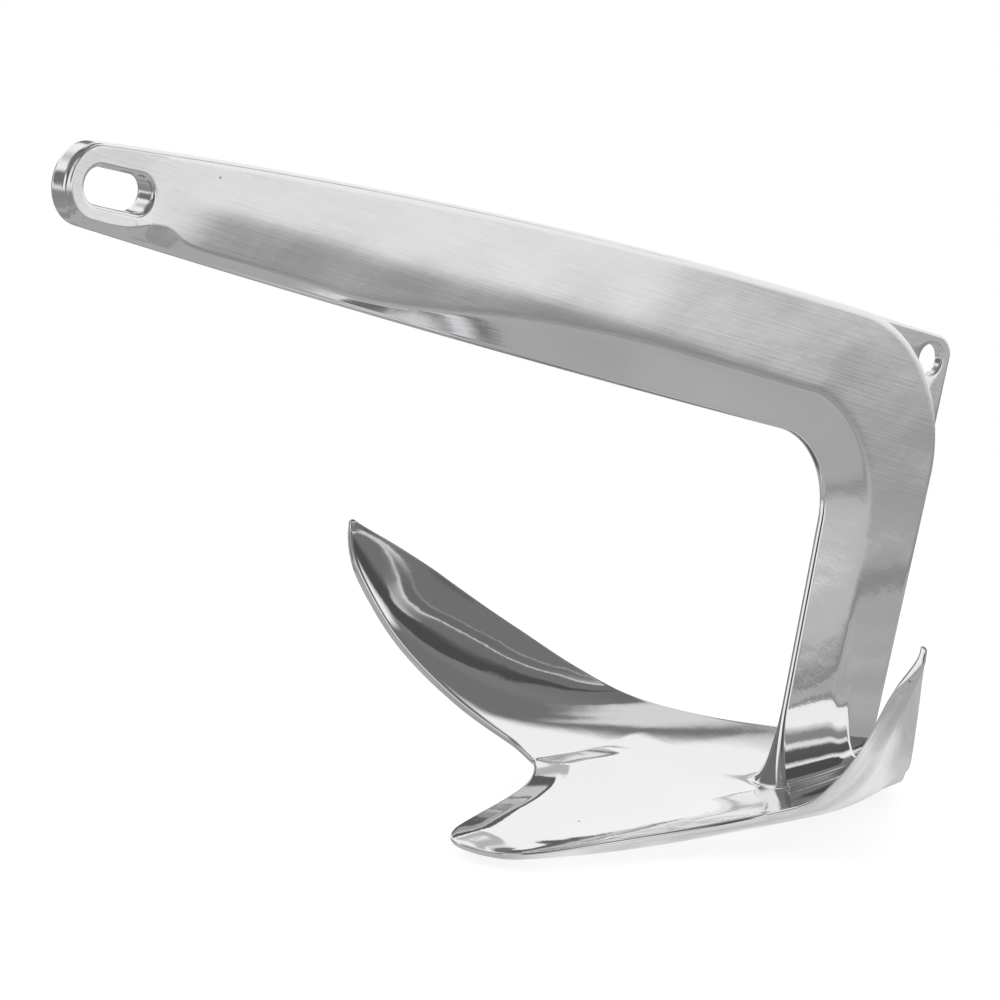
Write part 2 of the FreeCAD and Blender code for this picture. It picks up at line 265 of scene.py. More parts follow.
# Arc that rounds a corner between a line rising to the arm and a line leaning down the leg.
def cornerArc(corner, rise, lean, radius):
    toArm, toLeg = heading(rise), heading(-lean)
    half = 0.5 * np.arccos(np.dot(toArm, toLeg))
    middle = (toArm + toLeg) / np.linalg.norm(toArm + toLeg)
    corner = np.array(corner, dtype=float)
    reach = radius / np.tan(half)
    return corner + toArm * reach, corner + toLeg * reach, corner + middle * radius / np.sin(half)


alongEye, acrossEye = heading(shank["eyeTilt"]), heading(shank["eyeTilt"] + 90)
eyeCentre = np.array([shank["eyeX"], shank["eyeZ"]])
slotHalf = (shank["slotLength"] - shank["slotWidth"]) / 2
slotFront = eyeCentre + alongEye * slotHalf
eyeTop = slotFront + heading(90 + shank["eyeTopRise"]) * shank["eyeRadius"]
eyeBottom = slotFront + heading(-90 + shank["eyeBottomRise"]) * shank["eyeRadius"]
outerArc = cornerArc(shank["outerCorner"], shank["outerRise"], shank["outerLean"], shank["outerRadius"])
innerArc = cornerArc(shank["innerCorner"], shank["innerRise"], shank["innerLean"], shank["innerRadius"])


# Edge of the shank over its run: a shallow parabola from the eye to 1, an arc to 2 and a straight leg.
def shankEdge(run, eyeEnd, crown, arc, lean):
    run = np.asarray(run, dtype=float)[..., None]
    start, end, centre = arc
    chord = start - eyeEnd
    across = np.array([-chord[1], chord[0]]) / np.linalg.norm(chord)
    t = np.clip(run, 0, 1)
    bow = eyeEnd + chord * t - across * 4 * crown * t * (1 - t)
    first = np.arctan2(start[1] - centre[1], start[0] - centre[0])
    radius = np.linalg.norm(start - centre)
    turn = np.arccos(np.dot(start - centre, end - centre) / radius**2)
    angle = first + turn * np.clip(run - 1, 0, 1)
    bend = centre + radius * np.concatenate([np.cos(angle), np.sin(angle)], axis=-1)
    foot = end + heading(-lean) * (end[1] - shank["footLevel"]) / np.sin(np.radians(lean))
    leg = end + (foot - end) * (run - 2)
    return np.where(run <= 1, bow, np.where(run <= 2, bend, leg))


def outerEdge(run):
    return shankEdge(run, eyeTop, shank["topCrown"], outerArc, shank["outerLean"])


def innerEdge(run):
    return shankEdge(run, eyeBottom, -shank["bottomCrown"], innerArc, shank["innerLean"])


# Share of the way from the eye plate's section to the arm's.
def fromEye(run):
    return softStep(np.asarray(run), shank["startRun"], shank["startRun"] + shank["eyeBlend"])


# Rounded rim across the thickness: a quarter arc, a flat and a quarter arc, as (depth, y).
def rimProfile(half, rounding, steps):
    quarter = steps // 4
    turn = evenly(0, np.pi / 2, quarter)
    half, rounding = half[:, None], rounding[:, None]
    arcDepth, arcY = rounding * (1 - np.sin(turn)), half - rounding * (1 - np.cos(turn))
    flatY = (half - rounding) * evenly(1, -1, steps - 2 * quarter)[None, 1:-1]
    depth = np.concatenate([arcDepth, np.zeros_like(flatY), arcDepth[:, ::-1]], axis=1)
    y = np.concatenate([arcY, flatY, -arcY[:, ::-1]], axis=1)
    return depth, y


# Section of the shank, as (depth from the outer edge, y), going round from the far outer corner:
# outer rim, near side, inner rim, far side. The side is the softer minimum of a flat and a sloping band.
# The flat leans out below the outer edge and back in before the ridge, and its y is the running sum
# of the lean's tangent.
def shankProfile(run, width):
    share = fromEye(run)
    back = (shank["eyeThickness"] + (shank["backThickness"] - shank["eyeThickness"]) * share) / 2
    lip = (shank["eyeThickness"] + (shank["innerThickness"] - shank["eyeThickness"]) * share) / 2
    backRound = shank["eyeRound"] + (shank["backRound"] - shank["eyeRound"]) * share
    innerRound = shank["innerThickness"] / 2 - shank["lipFlat"]
    lipRound = shank["eyeRound"] + (innerRound - shank["eyeRound"]) * share
    band = smoothThrough(shank["band"], run)
    outDepth, outY = rimProfile(back, backRound, shank["rimSteps"])
    inDepth, inY = rimProfile(lip, lipRound, shank["rimSteps"])
    inDepth = width[:, None] - inDepth
    flatSteps = int(shank["sideSteps"] * shank["ridgeShare"])
    start, ridge, end = backRound[:, None], (width - band)[:, None], (width - lipRound)[:, None]
    first = start + (ridge - start) * evenly(0, 1, flatSteps)[None, :]
    second = ridge + (end - ridge) * evenly(0, 1, shank["sideSteps"] - flatSteps)[None, 1:]
    depth = np.concatenate([first, second], axis=1)
    high = smoothThrough(shank["tiltHigh"], run)[:, None]
    low = smoothThrough(shank["tiltLow"], run)[:, None]
    turnAt = smoothThrough(shank["tiltTurn"], run)[:, None]
    place = np.clip((depth - start) / (ridge - start), 0, 1.5)
    lean = high - (high - low) * softStep(place, turnAt - shank["tiltSpread"], turnAt + shank["tiltSpread"])
    tangent = np.tan(np.radians(lean))
    stepOut = (tangent[:, 1:] + tangent[:, :-1]) / 2 * np.diff(depth, axis=1)
    flat = back[:, None] + np.concatenate([np.zeros_like(start), np.cumsum(stepOut, axis=1)], axis=1)
    slope = (flat[:, flatSteps] - lip)[:, None] / np.maximum(end - ridge, 0.1)
    slanted = lip[:, None] + (end - depth) * slope
    soft = shank["ridgeSoft"] * share[:, None] + 1e-6
    side = (flat + slanted - np.sqrt((flat - slanted) ** 2 + soft**2)) / 2
    atStart, atEnd = back[:, None] - side[:, :1], lip[:, None] - side[:, -1:]
    place = (depth - start) / (end - start)
    side = side + atStart * (1 - place) + atEnd * place
    backDepth, backSide = depth[:, ::-1][:, 1:-1], -side[:, ::-1][:, 1:-1]
    depthAll = np.concatenate([outDepth[:, ::-1], depth[:, 1:], inDepth[:, 1:], backDepth], axis=1)
    yAll = np.concatenate([outY[:, ::-1], side[:, 1:], inY[:, 1:], backSide], axis=1)
    return depthAll, yAll


# One closed loop per run: the profile laid from the outer edge straight across to the inner edge.
def shankLoops(run):
    outer, inner = outerEdge(run), innerEdge(run)
    width = np.linalg.norm(inner - outer, axis=1)
    across = (inner - outer) / width[:, None]
    depth, y = shankProfile(run, width)
    plane = outer[:, None, :] + across[:, None, :] * depth[:, :, None]
    return np.stack([plane[:, :, 0], y, plane[:, :, 1]], axis=2)


# Mesh pieces from grids

# Four-sided faces between the neighbouring points of a grid, whose last column may join the first.
def gridFaces(rows, columns, firstIndex, closedAcross=False):
    across = columns if closedAcross else columns - 1
    row, column = np.meshgrid(np.arange(rows - 1), np.arange(across), indexing="ij")
    here, below = row * columns, (row + 1) * columns
    right = (column + 1) % columns
    faces = np.stack([here + column, here + right, below + right, below + column], axis=2)
    return faces.reshape(-1, 4) + firstIndex


# Grids of points, welded where they meet into one closed mesh.
class MeshParts:
    def __init__(self):
        self.points, self.faces, self.count = [], [], 0

    def addGrid(self, grid, closedAcross=False, skip=None):
        rows, columns = grid.shape[:2]
        faces = gridFaces(rows, columns, self.count, closedAcross)
        if skip is not None:
            faces = faces[~skip.reshape(-1)]
        self.points.append(grid.reshape(-1, 3))
        self.faces.append(faces)
        self.count += rows * columns

    def toObject(self, name, weld=2e-6):
        points = toFrame(np.concatenate(self.points))
        faces = np.concatenate(self.faces)
        mesh = bpy.data.meshes.new(name)
        mesh.from_pydata(points.tolist(), [], faces.tolist())
        piece = bpy.data.objects.new(name, mesh)
        bpy.context.scene.collection.objects.link(piece)
        work = bmesh.new()
        work.from_mesh(mesh)
        bmesh.ops.remove_doubles(work, verts=work.verts, dist=weld)
        bmesh.ops.dissolve_degenerate(work, edges=work.edges, dist=1e-7)
        openEdges = sum(1 for edge in work.edges if len(edge.link_faces) != 2)
        bmesh.ops.recalc_face_normals(work, faces=work.faces)
        if work.calc_volume(signed=True) < 0:
            bmesh.ops.reverse_faces(work, faces=work.faces)
        work.to_mesh(mesh)
        work.free()
        mesh.shade_smooth()
        print("  ", name, len(mesh.vertices), "points,", len(mesh.polygons), "faces, open edges", openEdges)
        return piece


# Casting: claw, foot, leg, elbow, arm and eye as one welded surface

# steps of each stretch of the surface
fineness = {
    "centreRolls": 26, "sideRolls": 68, "beforeFoot": 51, "bottom": 83, "tip": 4,
    "arm": 109, "bend": 40, "upperLeg": 11, "middleLeg": 6, "lowerLeg": 14, "fillet": 22, "apron": 7,
    "eyeEdge": 10, "nose": 48, "eyeFace": 21, "slotRound": 7, "slotWall": 6, "slotSearch": 4000,
}


casting = MeshParts()
rim, side = shank["rimSteps"], shank["sideSteps"]
around = 2 * (rim + side)

footRolls = evenly(-claw["footRoll"], claw["footRoll"], rim)
centreRolls = evenly(claw["footRoll"], claw["notchRoll"], fineness["centreRolls"])[1:]
pastNotch = evenly(0, 1, fineness["sideRolls"])[1:]
sideRolls = claw["notchRoll"] + (claw["tipRoll"] - claw["notchRoll"]) * pastNotch
outRolls = np.concatenate([centreRolls, sideRolls])
rolls = np.concatenate([-outRolls[::-1], footRolls, outRolls])
behindFoot = [0.0, claw["footRear"] / 2]
besideFoot = evenly(claw["footRear"], claw["footFront"], side)
beforeFoot = claw["footFront"] + (1 - claw["footFront"]) * evenly(0, 1, fineness["beforeFoot"])[1:]
topShares = np.concatenate([behindFoot, besideFoot, beforeFoot])
sections = clawSections(rolls, topShares, evenly(0, 1, fineness["bottom"]))
clawGrid = rolledPoints(sections, rolls)
firstRoll, firstShare = len(outRolls), len(behindFoot)
skip = np.zeros((len(rolls) - 1, clawGrid.shape[1]), dtype=bool)
skip[firstRoll:firstRoll + rim, firstShare:firstShare + side] = True
casting.addGrid(clawGrid, closedAcross=True, skip=skip)

# Each tip is closed by a round cap, which shrinks its last section to a point as it goes outward.
tipTurn = np.radians(claw["tipRoll"])
for end, outward in ((0, -1), (-1, 1)):
    ring = clawGrid[end]
    centre = ring.mean(axis=0)
    direction = np.array([0.0, outward * np.cos(tipTurn), np.sin(tipTurn)]) * claw["tipLength"]
    steps = evenly(0, 1, fineness["tip"])[:, None, None]
    cap = centre + (ring - centre)[None] * np.sqrt(np.maximum(1 - steps**2, 0)) + direction * steps
    casting.addGrid(cap, closedAcross=True)
print("stage 2: claw sections", clawGrid.shape)

# Ring of the claw's own grid points round the foot, in the order of the shank's section.
block = clawGrid[firstRoll:firstRoll + rim + 1, firstShare:firstShare + side + 1]
blockRing = np.concatenate([block[:, 0], block[-1, 1:], block[::-1, -1][1:], block[0, ::-1][1:-1]])

# Leg down to the foot: every point of the section slides down its own straight line.
legTop, legEnd = shankLoops(np.array([2.5, 3.0]))
legSlide = (legEnd - legTop) / (legEnd - legTop)[:, 2:]


# The leg's section where each point's line reaches its height.
def legAt(z):
    return legTop + legSlide * (z - legTop[:, 2])[:, None]


# A value for each point of the section: rear rim, near side, front rim, and the far side as a mirror.
def roundSection(rear, near, front, mirror):
    return np.concatenate([rear, near[1:], front[1:], mirror * near[::-1][1:-1]])


# Fillet reach of each point of the section: small behind, wide from the ridge forward.
sideShare = evenly(0, 1, side)
step = softStep(sideShare, *shank["flareFrom"])
beforeRidge = np.clip((1 - sideShare) / (1 - shank["ridgeShare"]), 0, 1)
sideY = shank["backFlareReach"] + (shank["flareReach"] - shank["backFlareReach"]) * step
sideX = shank["flareForward"] * sideShare - shank["flareBackward"] * step * beforeRidge
sideHeight = shank["backFlareHeight"] + (shank["flareHeight"] - shank["backFlareHeight"]) * step
rimTurn, evenRim = evenly(-1, 1, rim), np.ones(rim + 1)
rearX = sideX[0] - shank["backFlareReach"] * (1 - rimTurn**4)
reachY = roundSection(rimTurn * sideY[0], sideY, -rimTurn * sideY[-1], -1)
reachX = roundSection(rearX, sideX, evenRim * sideX[-1], 1)
reachHeight = roundSection(evenRim * sideHeight[0], sideHeight, evenRim * sideHeight[-1], 1)


# One loop of the fillet: a quarter turn from the leg's own line out to the claw's face.
def footLoop(turn):
    out, up = 1 - np.sin(turn), 1 - np.cos(turn)
    z = shank["footLevel"] + reachHeight * up
    for again in range(6):
        place = legAt(z)
        x, y = place[:, 0] + reachX * out, place[:, 1] + reachY * out
        z = clawFloor(x, y) + reachHeight * up
    return np.stack([x, y, z], axis=1)


# Loops between two others, in even straight steps.
def between(first, last, steps):
    return first + (last - first) * evenly(0, 1, steps)[1:-1, None, None]


armRuns = shank["startRun"] + (1 - shank["startRun"]) * evenly(0, 1, fineness["arm"])
bendRuns = 1 + evenly(0, 1, fineness["bend"])[1:]
legRuns = 2 + evenly(0, shank["upperLeg"], fineness["upperLeg"])[1:]
upper = shankLoops(np.concatenate([armRuns, bendRuns, legRuns]))
topOfFoot = legAt(np.full(around, shank["footStart"]))
fillet = np.stack([footLoop(turn) for turn in np.radians(evenly(90, 0, fineness["fillet"]))])
apron = between(fillet[-1], blockRing, fineness["apron"])
apron[:, :, 2] = clawFloor(apron[:, :, 0], apron[:, :, 1])
middleLeg = between(upper[-1], topOfFoot, fineness["middleLeg"])
lowerLeg = between(topOfFoot, fillet[0], fineness["lowerLeg"])
shankGrid = np.concatenate([upper, middleLeg, topOfFoot[None], lowerLeg, fillet, apron, blockRing[None]])
casting.addGrid(shankGrid, closedAcross=True)
print("stage 3: shank", shankGrid.shape)


# Eye plate. Its rim strip runs from the arm's outer rim round the nose to the arm's inner rim.
def eyeOutline():
    run = shank["startRun"] * evenly(1, 0, fineness["eyeEdge"])
    top, bottom = outerEdge(run), innerEdge(run)
    inward = (bottom - top) / np.linalg.norm(bottom - top, axis=1)[:, None]
    share = evenly(0, 1, fineness["eyeEdge"])[:, None]
    topIn = inward * (1 - share) - heading(90 + shank["eyeTopRise"]) * share
    bottomIn = -inward * (1 - share) - heading(-90 + shank["eyeBottomRise"]) * share
    turn = evenly(90 + shank["eyeTopRise"], -90 + shank["eyeBottomRise"], fineness["nose"])[1:-1]
    nose = np.stack([np.cos(np.radians(turn)), np.sin(np.radians(turn))], axis=1)
    outline = np.concatenate([top, slotFront + nose * shank["eyeRadius"], bottom[::-1]])
    inside = np.concatenate([topIn, -nose, bottomIn[::-1]])
    return outline, inside / np.linalg.norm(inside, axis=1)[:, None]


outline, inside = eyeOutline()
half = np.full(len(outline), shank["eyeThickness"] / 2)
rimDepth, rimY = rimProfile(half, np.full(len(outline), shank["eyeRound"]), rim)
rimPlane = outline[:, None, :] + inside[:, None, :] * rimDepth[:, :, None]
rimStrip = np.stack([rimPlane[:, :, 0], rimY, rimPlane[:, :, 1]], axis=2)
casting.addGrid(rimStrip)

# Each face is a ring of rows from the outline, closed across the arm, to the slot.
armSide = upper[0, rim:rim + side + 1]
borderPoints = np.concatenate([rimStrip[:, 0], armSide[::-1][1:-1]])
border, borderY = borderPoints[:, [0, 2]], borderPoints[:, 1]


# Point of the slot's outline, by the share of the way round from the middle of its upper line.
def slotAt(distance, radius):
    arc, line = np.pi * radius, 2 * slotHalf
    total = 2 * arc + 2 * line
    d = np.mod(distance, 1.0) * total
    first, second, third = line / 2, line / 2 + arc, line / 2 + arc + line
    part = [d < first, d < second, d < third, d < third + arc]
    frontTurn, backTurn = (d - first) / radius, (d - third) / radius
    along = [d, slotHalf + radius * np.sin(frontTurn), slotHalf - (d - second),
             -slotHalf - radius * np.sin(backTurn)]
    up = [radius + 0 * d, radius * np.cos(frontTurn), -radius + 0 * d, -radius * np.cos(backTurn)]
    x, z = np.select(part, along, d - total), np.select(part, up, radius)
    return eyeCentre + x[:, None] * alongEye + z[:, None] * acrossEye


# Direction of each point from the eye's middle, in the eye's own plane.
def borderAngle(points):
    local = points - eyeCentre
    return np.arctan2(local @ alongEye, local @ acrossEye)


# The slot has a point for each border point, in the same direction from the eye's middle.
slotRadius = shank["slotWidth"] / 2
fine = np.linspace(0, 1, fineness["slotSearch"], endpoint=False)
slotTurn = np.unwrap(borderAngle(slotAt(fine, slotRadius)))
borderTurn = np.mod(borderAngle(border) - slotTurn[0], 2 * np.pi)
share = np.interp(borderTurn, slotTurn - slotTurn[0], fine)


# Half thickness of the eye plate: it leans out evenly from the top edge, and a steeper facet brings it back
# along the lower edge and the nose. The smaller of the two slopes counts.
def eyeFaceY(points):
    local = points - eyeCentre
    along, up = local @ alongEye, local @ acrossEye
    halfWidth = shank["eyeRadius"] - shank["eyeRound"] + np.maximum(slotHalf - along, 0) * shank["eyeSpread"]
    fromNose = np.hypot(np.maximum(along - slotHalf, 0), up)
    toEdge = np.maximum(halfWidth - fromNose, 0)
    lean = np.tan(np.radians(shank["eyeLean"]))
    facet = smoothThrough(shank["eyeFacet"], along)
    fall = lean * 2 * halfWidth / facet
    return shank["eyeThickness"] / 2 + np.minimum(lean * np.maximum(halfWidth - up, 0), fall * toEdge)


mouth = slotAt(share, slotRadius + shank["slotRound"])
rows = evenly(0, 1, fineness["eyeFace"])[:, None, None]
plane = border + (mouth - border) * rows
faceY = eyeFaceY(plane) + (borderY - eyeFaceY(border)) * (1 - rows[:, :, 0])
turn = np.radians(evenly(0, 90, fineness["slotRound"]))
for sign in (1, -1):
    casting.addGrid(np.stack([plane[:, :, 0], sign * faceY, plane[:, :, 1]], axis=2), closedAcross=True)
    rounding = [np.insert(slotAt(share, slotRadius + shank["slotRound"] * (1 - np.sin(a))), 1,
                          sign * (faceY[-1] - shank["slotRound"] * (1 - np.cos(a))), axis=1) for a in turn]
    casting.addGrid(np.stack(rounding), closedAcross=True)
wallTop, mouthLine = faceY[-1] - shank["slotRound"], slotAt(share, slotRadius)
wall = [np.insert(mouthLine, 1, wallTop * level, axis=1) for level in evenly(1, -1, fineness["slotWall"])]
casting.addGrid(np.stack(wall), closedAcross=True)
castingPiece = casting.toObject("anchorCasting")
print("stage 4: eye and slot")

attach(castingPiece, "root")
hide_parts("anchor")


# Trip-line lug

lug = {
    "thickness": 5.2, "round": 9.1, "holeDiameter": 14.0, "holeWall": 4.8, "edgeRound": 0.9, "inward": 30.0,
    "aroundSteps": 96, "faceSteps": 6, "edgeSteps": 4,
}


# Reach of a ray each way from the hole: to the nearest of the two straight edges and a line hidden inside
# the elbow, or to the corner's arc where the ray passes it.
def lugOutline():
    corner = np.array(shank["outerCorner"], dtype=float)
    rise, lean = shank["outerRise"], shank["outerLean"]
    start, end, centre = cornerArc(corner, rise, lean, lug["round"])
    hole = cornerArc(corner, rise, lean, lug["holeWall"] + lug["holeDiameter"] / 2)[2]
    turn = np.linspace(0, 2 * np.pi, lug["aroundSteps"], endpoint=False)
    way = np.stack([np.cos(turn), np.sin(turn)], axis=1)
    inward = (outerArc[2] - hole) / np.linalg.norm(outerArc[2] - hole)

    def reachTo(point, normal):
        along = way @ normal
        return np.where(along > 1e-6, ((point - hole) @ normal) / np.maximum(along, 1e-6), np.inf)

    straight = np.minimum(reachTo(corner, heading(rise + 90)), reachTo(corner, heading(-lean - 90)))
    straight = np.minimum(straight, reachTo(hole + inward * lug["inward"], inward))
    offset = hole - centre
    middle = way @ offset
    arcReach = -middle + np.sqrt(np.maximum(middle**2 - offset @ offset + lug["round"] ** 2, 0))
    hit = hole + way * arcReach[:, None]
    onArc = ((hit - start) @ heading(rise) < 0) & ((hit - end) @ heading(-lean) < 0)
    return hole, way, np.where(onArc, arcReach, straight)


# Rows of the near half, as (distance from the hole's middle, y): the hole's wall, a quarter arc, the face,
# a quarter arc and the rim.
def lugRows(reach):
    bore = np.full_like(reach, lug["holeDiameter"] / 2)
    edge, half = lug["edgeRound"], lug["thickness"] / 2
    turn = np.radians(evenly(0, 90, lug["edgeSteps"]))
    bendUp, bendIn = edge * (1 - np.cos(turn)), edge * (1 - np.sin(turn))
    faceShare = evenly(0, 1, lug["faceSteps"])[1:, None]
    wallY = (half - edge) * np.array([0.0, 0.5])
    face = bore + edge + (reach - bore - 2 * edge) * faceShare
    distance = [np.stack([bore, bore]), bore + bendUp[:, None], face, reach - bendIn[1:, None],
                np.stack([reach, reach])]
    y = [wallY, half - bendIn, np.full(len(face), half), half - bendUp[1:], wallY[::-1]]
    return np.concatenate(distance), np.concatenate(y)


hole, way, reach = lugOutline()
distance, y = lugRows(reach)
distance, y = np.concatenate([distance, distance[::-1][1:]]), np.concatenate([y, -y[::-1][1:]])
lugGrid = np.insert(hole + way * distance[:, :, None], 1, y[:, None], axis=2)
lugParts = MeshParts()
lugParts.addGrid(lugGrid, closedAcross=True)
lugPiece = lugParts.toObject("tripLug")
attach(lugPiece, "root")
print("stage 5: trip-line lug")


# A shader node, with its settings by keyword and the values of its sockets by name or number.
def addNode(nodes, kind, sockets=None, **settings):
    node = nodes.new("ShaderNode" + kind)
    for name, value in settings.items():
        setattr(node, name, value)
    for name, value in (sockets or {}).items():
        node.inputs[name].default_value = value
    return node


# Polished steel

steel = {
    "colour": (0.79, 0.79, 0.80, 1.0),
    "mirrorRoughness": 0.045, "satinRoughness": 0.13, "satinFrom": 0.06, "satinTo": 0.17,
    "waveScale": 14.0, "waveHeight": 0.0011, "dentScale": 46.0, "dentHeight": 0.00012,
    "brushScale": (26.0, 900.0, 900.0), "brushHeight": 0.000014, "brushRise": 19.5,
    "brushRange": (0.3, 0.7), "brushSpread": (0.85, 1.15),
    "scratchScale": (900.0, 60.0, 420.0), "scratchHeight": 0.000010,
    "pitScale": 75.0, "pitSize": 0.055, "pitCore": 0.4, "pitHeight": 0.00035, "pitShade": 0.55,
    "pitChance": (0.22, 0.23),
}


# Polished steel: waves, dents, brushing, scratches and pits as bumps, one over the other.
def makeSteel():
    material = bpy.data.materials.new("polishedSteel")
    material.use_nodes = True
    nodes, links = material.node_tree.nodes, material.node_tree.links
    shader = nodes["Principled BSDF"]
    shader.inputs["Metallic"].default_value = 1.0
    place = addNode(nodes, "TexCoord").outputs["Object"]

    def noise(scale, detail, stretch=(1.0, 1.0, 1.0), source=place):
        scaled = addNode(nodes, "VectorMath", {1: stretch}, operation="MULTIPLY")
        texture = addNode(nodes, "TexNoise", {"Scale": scale, "Detail": detail})
        links.new(source, scaled.inputs[0])
        links.new(scaled.outputs[0], texture.inputs["Vector"])
        return texture.outputs["Fac"]

    def bump(height, metres, under=None):
        node = addNode(nodes, "Bump", {"Strength": 1.0, "Distance": metres})
        links.new(height, node.inputs["Height"])
        if under is not None:
            links.new(under, node.inputs["Normal"])
        return node.outputs["Normal"]

    def mapped(value, fromLow, fromHigh, toLow, toHigh):
        ends = {"From Min": fromLow, "From Max": fromHigh, "To Min": toLow, "To Max": toHigh}
        node = addNode(nodes, "MapRange", ends)
        links.new(value, node.inputs["Value"])
        return node.outputs["Result"]

    def times(a, b):
        node = addNode(nodes, "Math", operation="MULTIPLY")
        links.new(a, node.inputs[0])
        links.new(b, node.inputs[1])
        return node.outputs[0]

    # the brushing runs along the arm, so the place is turned until the arm lies along X
    rise = float(np.radians(steel["brushRise"]))
    turned = addNode(nodes, "VectorRotate", {"Angle": rise}, rotation_type="Y_AXIS")
    links.new(place, turned.inputs["Vector"])
    axis = addNode(nodes, "SeparateXYZ")
    links.new(place, axis.inputs[0])
    # the claw is polished to a mirror, and the leg and arm are more and more satin with height
    satin = mapped(axis.outputs["Z"], steel["satinFrom"], steel["satinTo"], 0.0, 1.0)
    wave = noise(steel["waveScale"], 1.0)
    dent = noise(steel["dentScale"], 2.0)
    brush = noise(1.0, 2.0, steel["brushScale"], turned.outputs["Vector"])
    scratch = noise(1.0, 1.0, steel["scratchScale"])
    # pits: small dots round the middles of some of the cells
    cells = addNode(nodes, "TexVoronoi", {"Scale": steel["pitScale"]})
    links.new(place, cells.inputs["Vector"])
    chosen = addNode(nodes, "SeparateColor")
    links.new(cells.outputs["Color"], chosen.inputs[0])
    some = mapped(chosen.outputs[0], *steel["pitChance"], 1.0, 0.0)
    dot = mapped(cells.outputs["Distance"], steel["pitSize"], steel["pitSize"] * steel["pitCore"], 0.0, 1.0)
    pit = times(dot, some)

    normal = bump(wave, steel["waveHeight"])
    normal = bump(dent, steel["dentHeight"], normal)
    normal = bump(times(brush, satin), steel["brushHeight"], normal)
    normal = bump(scratch, steel["scratchHeight"], normal)
    normal = bump(pit, -steel["pitHeight"], normal)
    links.new(normal, shader.inputs["Normal"])

    streak = mapped(brush, *steel["brushRange"], *steel["brushSpread"])
    blur = mapped(satin, 0.0, 1.0, steel["mirrorRoughness"], steel["satinRoughness"])
    links.new(times(streak, blur), shader.inputs["Roughness"])

    pitColour = tuple(part * (1 - steel["pitShade"]) for part in steel["colour"][:3]) + (1.0,)
    shade = addNode(nodes, "Mix", data_type="RGBA")
    shade.inputs["A"].default_value = steel["colour"]
    shade.inputs["B"].default_value = pitColour
    links.new(pit, shade.inputs["Factor"])
    links.new(shade.outputs["Result"], shader.inputs["Base Color"])
    return material


steelMaterial = makeSteel()
for piece in (castingPiece, lugPiece):
    piece.data.materials.append(steelMaterial)
print("stage 6: steel")


# Studio floor

floor = {
    "radius": 0.656, "centre": (-0.1, 0.05), "drop": 0.0005, "steps": 160,
    "colour": (0.30, 0.30, 0.30, 1.0), "white": 0.80,
    # its painted glow, seen only by glossy rays, which the metal shows as painted reflections, and how uneven
    # that is between the noise's low and high values
    "reflectionGlow": 0.60, "patches": 14.0, "noiseRange": (0.32, 0.68), "uneven": (0.62, 1.15),
    # the painted rings of shade in that glow, which the metal shows as reflections, by the distance from the
    # disc's middle
    "rings": [(0.0, 1.0), (0.10, 1.0), (0.16, 0.33), (0.498, 0.33), (0.503, 0.0), (0.556, 0.0),
              (0.606, 0.25)],
}


# Grey ramp over a value from 0 to 1, from (place, shade) stops.
def greyRamp(nodes, stops):
    ramp = addNode(nodes, "ValToRGB")
    elements = ramp.color_ramp.elements
    while len(elements) > 1:
        elements.remove(elements[-1])
    for index, (at, shade) in enumerate(stops):
        stop = elements[0] if index == 0 else elements.new(at)
        stop.position = at
        stop.color = (shade, shade, shade, 1)
    return ramp


# Pale floor: a little light of its own for the camera, and a painted glow in rings and patches that only
# glossy rays see, so that the metal shows painted reflections of it.
def makeFloor():
    material = bpy.data.materials.new("paleFloor")
    material.use_nodes = True
    nodes, links = material.node_tree.nodes, material.node_tree.links
    nodes.clear()
    result = addNode(nodes, "OutputMaterial")
    diffuse = addNode(nodes, "BsdfDiffuse", {"Color": floor["colour"]})
    place = addNode(nodes, "TexCoord")
    away = addNode(nodes, "VectorMath", operation="LENGTH")
    links.new(place.outputs["Object"], away.inputs[0])
    rings = greyRamp(nodes, floor["rings"])
    links.new(away.outputs["Value"], rings.inputs["Fac"])
    noise = addNode(nodes, "TexNoise", {"Scale": floor["patches"], "Detail": 3.0})
    links.new(place.outputs["Object"], noise.inputs["Vector"])
    low, high = floor["noiseRange"]
    dim, bright = (floor["reflectionGlow"] * share for share in floor["uneven"])
    uneven = addNode(nodes, "MapRange", {"From Min": low, "From Max": high, "To Min": dim, "To Max": bright})
    links.new(noise.outputs["Fac"], uneven.inputs["Value"])
    # painted reflection: the glow's shade for glossy rays, its rings times its uneven patches
    reflectionGlowShade = addNode(nodes, "Math", operation="MULTIPLY")
    links.new(rings.outputs["Color"], reflectionGlowShade.inputs[0])
    links.new(uneven.outputs["Result"], reflectionGlowShade.inputs[1])
    lightPath = addNode(nodes, "LightPath")
    forCamera = addNode(nodes, "Math", {1: floor["white"]}, operation="MULTIPLY")
    links.new(lightPath.outputs["Is Camera Ray"], forCamera.inputs[0])
    # the floor glows white for the camera, and for glossy rays with the painted reflection shade as well
    strength = addNode(nodes, "Math", operation="MULTIPLY_ADD")
    links.new(lightPath.outputs["Is Glossy Ray"], strength.inputs[0])
    links.new(reflectionGlowShade.outputs[0], strength.inputs[1])
    links.new(forCamera.outputs[0], strength.inputs[2])
    glow = addNode(nodes, "Emission")
    links.new(strength.outputs[0], glow.inputs["Strength"])
    both = addNode(nodes, "AddShader")
    links.new(diffuse.outputs[0], both.inputs[0])
    links.new(glow.outputs[0], both.inputs[1])
    links.new(both.outputs[0], result.inputs["Surface"])
    return material


floorMesh = bpy.data.meshes.new("studioFloor")
turn = np.linspace(0, 2 * np.pi, floor["steps"], endpoint=False)
disc = np.stack([np.cos(turn), np.sin(turn), np.zeros_like(turn)], axis=1) * floor["radius"]
floorMesh.from_pydata(disc.tolist(), [], [tuple(range(len(disc)))])
floorMesh.materials.append(makeFloor())
floorPiece = bpy.data.objects.new("studioFloor", floorMesh)
floorPiece.location = (*floor["centre"], -floor["drop"])
bpy.context.scene.collection.objects.link(floorPiece)


# Light tent

